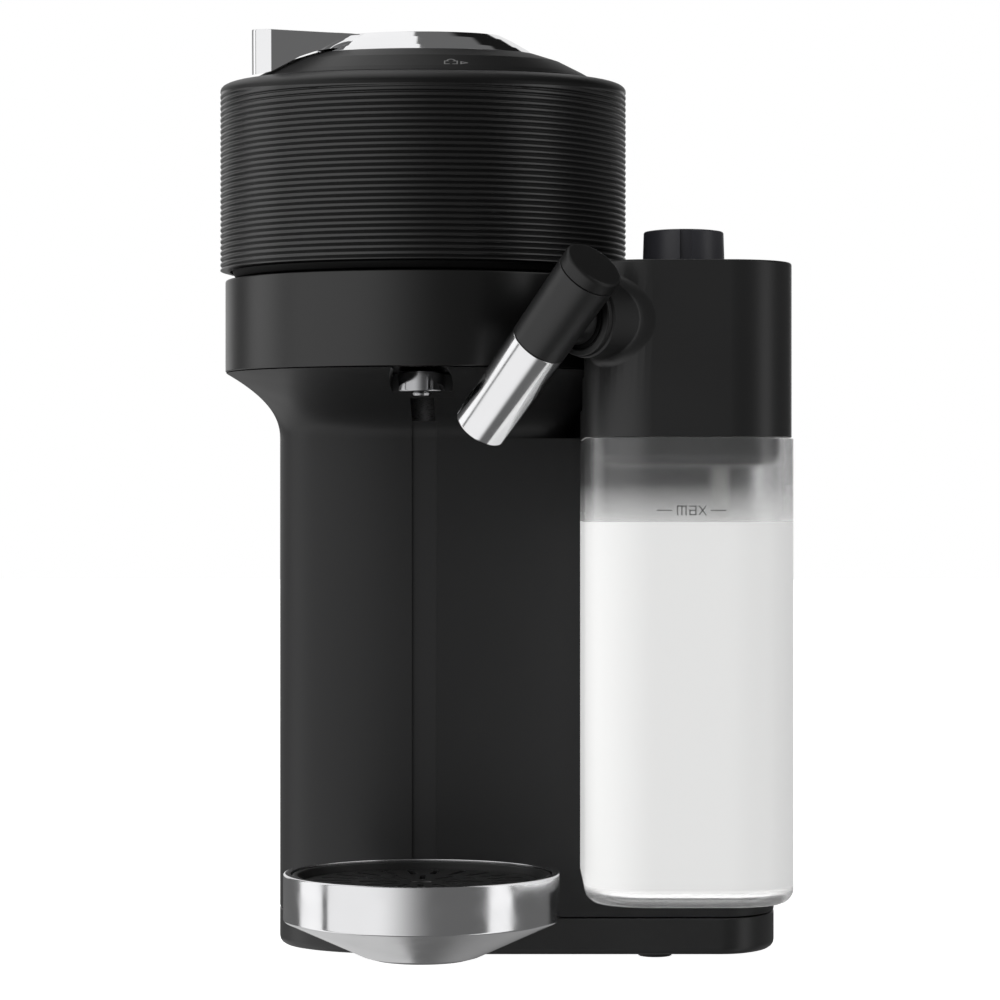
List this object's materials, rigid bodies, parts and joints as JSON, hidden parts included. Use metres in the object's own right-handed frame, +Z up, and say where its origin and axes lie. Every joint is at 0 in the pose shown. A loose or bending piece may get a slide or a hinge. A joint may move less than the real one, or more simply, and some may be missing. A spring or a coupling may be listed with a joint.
{
  "type": "pod coffee machine",
  "caption": "Pod coffee machine with a round ribbed brew head on a column, a hooked cup support, a docked milk jug with a swivelling milk spout, a capsule bin and a water tank.",
  "frame": {"origin": "on the table, at the middle of the machine's footprint box", "axes": "+X towards the milk unit, -Y towards the front, +Z up"},
  "size_m": [0.1977, 0.4144, 0.3293],
  "materials": {
    "dark_shell": "fine satin",
    "ribbed_black": "satin with fine rings",
    "gloss_black": "gloss",
    "chrome": "polished",
    "knob_grey": "satin",
    "jug_clear": "frosted clear",
    "tank_smoke": "clear, smoked",
    "rubber": "matte",
    "inner_plastic": "moulded",
    "steel": "turned",
    "cast_metal": "cast",
    "board_green": "lacquered",
    "hose_white": "silicone"
  },
  "bodies": {
    "base": {"base_plate": "dark_shell", "foot_front_left": "rubber", "foot_front_right": "rubber", "foot_rear_left": "rubber", "foot_rear_right": "rubber", "cord_gland": "rubber", "body_shell": "dark_shell", "neck_shell": "dark_shell", "capsule_housing": "dark_shell", "coffee_spout": "steel", "inner_frame": "inner_plastic", "capsule_chute": "dark_shell", "hinge_bracket": "cast_metal", "hinge_pin": "steel", "steam_socket": "gloss_black", "cup_bearing": "steel", "drive_motor": "steel", "drive_belt": "rubber", "water_pump": "cast_metal", "thermoblock": "cast_metal", "steam_unit": "cast_metal", "control_board": "board_green", "inlet_hose": "hose_white", "pressure_hose": "hose_white", "steam_hose": "hose_white", "tank_dock": "inner_plastic"},
    "capsule_cup": {"capsule_cup": "steel"},
    "motor_pulley": {"motor_pulley": "steel"},
    "ejector": {"ejector_fork": "steel"},
    "head": {"head_drum": "ribbed_black", "head_dome": "gloss_black", "head_floor": "inner_plastic", "top_panel": "gloss_black", "hinge_arm": "dark_shell"},
    "piercing_unit": {"piercing_unit": "steel"},
    "lever": {"lever": "chrome"},
    "brew_button": {"brew_button": "chrome"},
    "recipe_left": {"recipe_button_left": "gloss_black"},
    "recipe_middle": {"recipe_button_middle": "gloss_black"},
    "recipe_right": {"recipe_button_right": "gloss_black"},
    "cup_support": {"cup_support": "chrome", "drip_bowl": "gloss_black"},
    "drip_grid": {"drip_grid": "gloss_black"},
    "milk_lid": {"milk_lid": "dark_shell", "lid_insert": "gloss_black", "pickup_tube": "hose_white", "steam_nozzle": "steel", "spout_collar": "gloss_black"},
    "milk_jug": {"milk_jug": "jug_clear"},
    "milk_spout": {"spout_elbow": "dark_shell", "spout_cap": "gloss_black", "spout_tip": "chrome"},
    "froth_knob": {"froth_knob": "knob_grey"},
    "water_tank": {"water_tank": "tank_smoke", "tank_valve": "gloss_black"},
    "tank_lid": {"tank_lid": "dark_shell"},
    "capsule_bin": {"capsule_bin": "dark_shell", "bin_cover": "dark_shell"}
  },
  "joints": [
    {"name": "head_hinge", "type": "hinge", "parent": "base", "child": "head", "pos_m": [-0.0279, -0.0192, 0.247], "axis": [-1, 0, 0], "range_deg": [0, 50]},
    {"name": "ejector_lift", "type": "hinge", "parent": "base", "child": "ejector", "pos_m": [-0.0279, -0.0432, 0.2375], "axis": [-1, 0, 0], "range_deg": [0, 30]},
    {"name": "cup_spin", "type": "hinge", "parent": "base", "child": "capsule_cup", "pos_m": [-0.0279, -0.0992, 0.236], "axis": [0, 0, 1], "continuous": true},
    {"name": "motor_spin", "type": "hinge", "parent": "base", "child": "motor_pulley", "pos_m": [-0.0279, -0.0522, 0.2114], "axis": [0, 0, 1], "continuous": true},
    {"name": "piercing_spin", "type": "hinge", "parent": "head", "child": "piercing_unit", "pos_m": [-0.0279, -0.0992, 0.242], "axis": [0, 0, 1], "continuous": true},
    {"name": "lever_turn", "type": "hinge", "parent": "head", "child": "lever", "pos_m": [-0.0279, -0.0992, 0.3127], "axis": [0, -0.0645, 0.9979], "range_deg": [0, 45]},
    {"name": "brew_press", "type": "slide", "parent": "head", "child": "brew_button", "axis": [0, 0.0645, -0.9979], "range_m": [0, 0.0015], "stiffness_N_per_m": 400, "springref_m": -0.002},
    {"name": "recipe_left_press", "type": "slide", "parent": "head", "child": "recipe_left", "axis": [0, 0.0645, -0.9979], "range_m": [0, 0.001], "stiffness_N_per_m": 400, "springref_m": -0.002},
    {"name": "recipe_middle_press", "type": "slide", "parent": "head", "child": "recipe_middle", "axis": [0, 0.0645, -0.9979], "range_m": [0, 0.001], "stiffness_N_per_m": 400, "springref_m": -0.002},
    {"name": "recipe_right_press", "type": "slide", "parent": "head", "child": "recipe_right", "axis": [0, 0.0645, -0.9979], "range_m": [0, 0.001], "stiffness_N_per_m": 400, "springref_m": -0.002},
    {"name": "support_slide", "type": "slide", "parent": "base", "child": "cup_support", "axis": [0, -1, 0], "range_m": [0, 0.06]},
    {"name": "grid_lift", "type": "slide", "parent": "cup_support", "child": "drip_grid", "axis": [0, 0, 1], "range_m": [0, 0.05]},
    {"name": "milk_slide", "type": "slide", "parent": "base", "child": "milk_lid", "axis": [0, -1, 0], "range_m": [0, 0.1]},
    {"name": "jug_drop", "type": "slide", "parent": "milk_lid", "child": "milk_jug", "axis": [0, 0, -1], "range_m": [0, 0.02]},
    {"name": "spout_turn", "type": "hinge", "parent": "milk_lid", "child": "milk_spout", "pos_m": [0.0177, -0.1862, 0.2246], "axis": [-0.7001, -0.7141, 0], "range_deg": [0, 45]},
    {"name": "froth_turn", "type": "hinge", "parent": "milk_lid", "child": "froth_knob", "pos_m": [0.0621, -0.1242, 0.2444], "axis": [0, 0, 1], "range_deg": [-90, 90]},
    {"name": "tank_lift", "type": "slide", "parent": "base", "child": "water_tank", "axis": [0, 0, 1], "range_m": [0, 0.15]},
    {"name": "tank_lid_hinge", "type": "hinge", "parent": "water_tank", "child": "tank_lid", "pos_m": [-0.0279, 0.2033, 0.2178], "axis": [-1, 0, 0], "range_deg": [0, 100]},
    {"name": "bin_lift", "type": "slide", "parent": "base", "child": "capsule_bin", "axis": [0, 0, 1], "range_m": [0, 0.18]}
  ],
  "couplings": [
    {"joint": "ejector_lift", "follows": "head_hinge", "ratio": 0.6},
    {"joint": "motor_spin", "follows": "cup_spin", "ratio": 3.7273},
    {"joint": "piercing_spin", "follows": "cup_spin", "ratio": 1}
  ]
}
